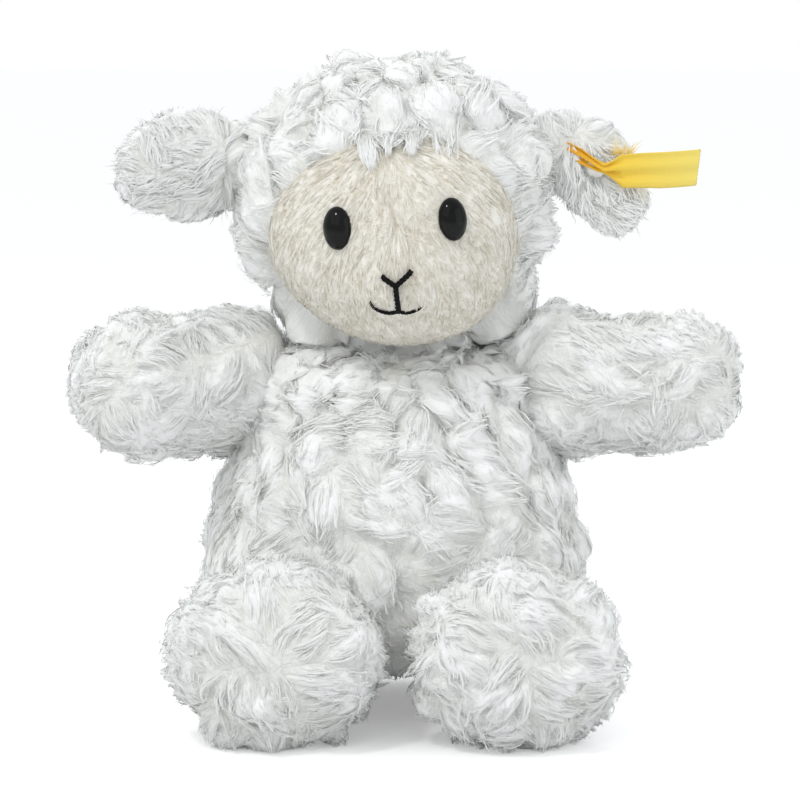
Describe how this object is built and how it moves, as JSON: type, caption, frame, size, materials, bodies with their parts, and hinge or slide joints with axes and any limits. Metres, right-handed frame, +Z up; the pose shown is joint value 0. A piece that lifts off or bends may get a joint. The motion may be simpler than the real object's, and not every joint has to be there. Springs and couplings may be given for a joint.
{
  "type": "plush sheep",
  "caption": "Seated stuffed sheep of long-pile plush with outstretched arms, short-pile face, domed eyes, floppy ears and a ribbon riveted to one ear.",
  "frame": {"origin": "on the plane that the sheep sits on, under the middle of its box", "axes": "+Z up, the sheep looks along -Y, +X towards its left arm, which is on the viewer's right"},
  "size_m": [0.1804, 0.1324, 0.1785],
  "materials": {
    "plush_white": "matte",
    "plush_cream": "matte",
    "filling": "matte",
    "pellet_cloth": "matte",
    "thread_white": "matte",
    "thread_black": "matte",
    "ribbon_yellow": "satin",
    "eye_black": "gloss",
    "washer_white": "matte",
    "rivet_steel": "satin"
  },
  "bodies": {
    "torso": {"torso_casing": "plush_white", "torso_stuffing": "filling", "seat_pellet_bag": "pellet_cloth"},
    "neck_seam": {"neck_ladder_thread": "thread_white"},
    "neck_mouth": {"neck_gathering_thread": "thread_white"},
    "head": {"head_hood": "plush_white", "face_panel": "plush_cream", "head_stuffing": "filling", "eye_left": "eye_black", "eye_right": "eye_black", "eye_washer_left": "washer_white", "eye_washer_right": "washer_white", "nose_stitch": "thread_black", "mouth_stitch": "thread_black"},
    "shoulder_left": {"shoulder_thread_left": "thread_white"},
    "arm_left": {"arm_left_casing": "plush_white", "arm_left_stuffing": "filling"},
    "shoulder_right": {"shoulder_thread_right": "thread_white"},
    "arm_right": {"arm_right_casing": "plush_white", "arm_right_stuffing": "filling"},
    "hip_left": {"hip_thread_left": "thread_white"},
    "leg_left": {"leg_left_casing": "plush_white", "leg_left_stuffing": "filling"},
    "hip_right": {"hip_thread_right": "thread_white"},
    "leg_right": {"leg_right_casing": "plush_white", "leg_right_stuffing": "filling"},
    "ear_left": {"ear_left": "plush_white"},
    "ear_right": {"ear_right": "plush_white", "ear_rivet": "rivet_steel", "ear_rivet_washer": "rivet_steel"},
    "ribbon": {"ear_ribbon": "ribbon_yellow"},
    "tail": {"tail": "plush_white"}
  },
  "joints": [
    {"name": "neck_turn", "type": "hinge", "parent": "torso", "child": "neck_seam", "pos_m": [-0.00003, 0.01126, 0.106], "axis": [0, 0, 1], "range_deg": [-35, 35], "stiffness_Nm_per_rad": 0.06},
    {"name": "neck_nod", "type": "hinge", "parent": "neck_seam", "child": "neck_mouth", "pos_m": [-0.00003, 0.01126, 0.106], "axis": [1, 0, 0], "range_deg": [-14, 12], "stiffness_Nm_per_rad": 0.12},
    {"name": "neck_tilt", "type": "hinge", "parent": "neck_mouth", "child": "head", "pos_m": [-0.00003, 0.01126, 0.106], "axis": [0, 1, 0], "range_deg": [-14, 14], "stiffness_Nm_per_rad": 0.12},
    {"name": "shoulder_left_raise", "type": "hinge", "parent": "torso", "child": "shoulder_left", "pos_m": [-0.04743, 0.00726, 0.088], "axis": [0, 1, 0], "range_deg": [-18, 25], "stiffness_Nm_per_rad": 0.04},
    {"name": "shoulder_left_sweep", "type": "hinge", "parent": "shoulder_left", "child": "arm_left", "pos_m": [-0.04743, 0.00726, 0.088], "axis": [0, 0, -1], "range_deg": [-7, 55], "stiffness_Nm_per_rad": 0.04},
    {"name": "shoulder_right_raise", "type": "hinge", "parent": "torso", "child": "shoulder_right", "pos_m": [0.04258, 0.00726, 0.088], "axis": [0, -1, 0], "range_deg": [-16.5, 26.5], "stiffness_Nm_per_rad": 0.04},
    {"name": "shoulder_right_sweep", "type": "hinge", "parent": "shoulder_right", "child": "arm_right", "pos_m": [0.04258, 0.00726, 0.088], "axis": [0, 0, 1], "range_deg": [-38, 24], "stiffness_Nm_per_rad": 0.04},
    {"name": "hip_left_lift", "type": "hinge", "parent": "torso", "child": "hip_left", "pos_m": [-0.03293, -0.03525, 0.02427], "axis": [-1, 0, 0], "range_deg": [-8, 28], "stiffness_Nm_per_rad": 0.05},
    {"name": "hip_left_splay", "type": "hinge", "parent": "hip_left", "child": "leg_left", "pos_m": [-0.03293, -0.03525, 0.02427], "axis": [0, 0, -1], "range_deg": [-4, 22], "stiffness_Nm_per_rad": 0.05},
    {"name": "hip_right_lift", "type": "hinge", "parent": "torso", "child": "hip_right", "pos_m": [0.02807, -0.03525, 0.02427], "axis": [-1, 0, 0], "range_deg": [-8, 28], "stiffness_Nm_per_rad": 0.05},
    {"name": "hip_right_splay", "type": "hinge", "parent": "hip_right", "child": "leg_right", "pos_m": [0.02807, -0.03525, 0.02427], "axis": [0, 0, 1], "range_deg": [-6, 18], "stiffness_Nm_per_rad": 0.05},
    {"name": "ear_left_flap", "type": "hinge", "parent": "head", "child": "ear_left", "pos_m": [-0.04812, 0.00526, 0.14966], "axis": [0, 1, 0], "range_deg": [-40, 35], "stiffness_Nm_per_rad": 0.01},
    {"name": "ear_right_flap", "type": "hinge", "parent": "head", "child": "ear_right", "pos_m": [0.04065, 0.00526, 0.15665], "axis": [0, -1, 0], "range_deg": [-6, 60], "stiffness_Nm_per_rad": 0.01},
    {"name": "ribbon_swing", "type": "hinge", "parent": "ear_right", "child": "ribbon", "pos_m": [0.05163, -0.00092, 0.14859], "axis": [0.0582, 0.9976, -0.0385], "range_deg": [-35, 35], "stiffness_Nm_per_rad": 0.0005},
    {"name": "tail_lift", "type": "hinge", "parent": "torso", "child": "tail", "pos_m": [-0.00243, 0.05088, 0.026], "axis": [1, 0, 0], "range_deg": [-10, 30], "stiffness_Nm_per_rad": 0.01}
  ]
}
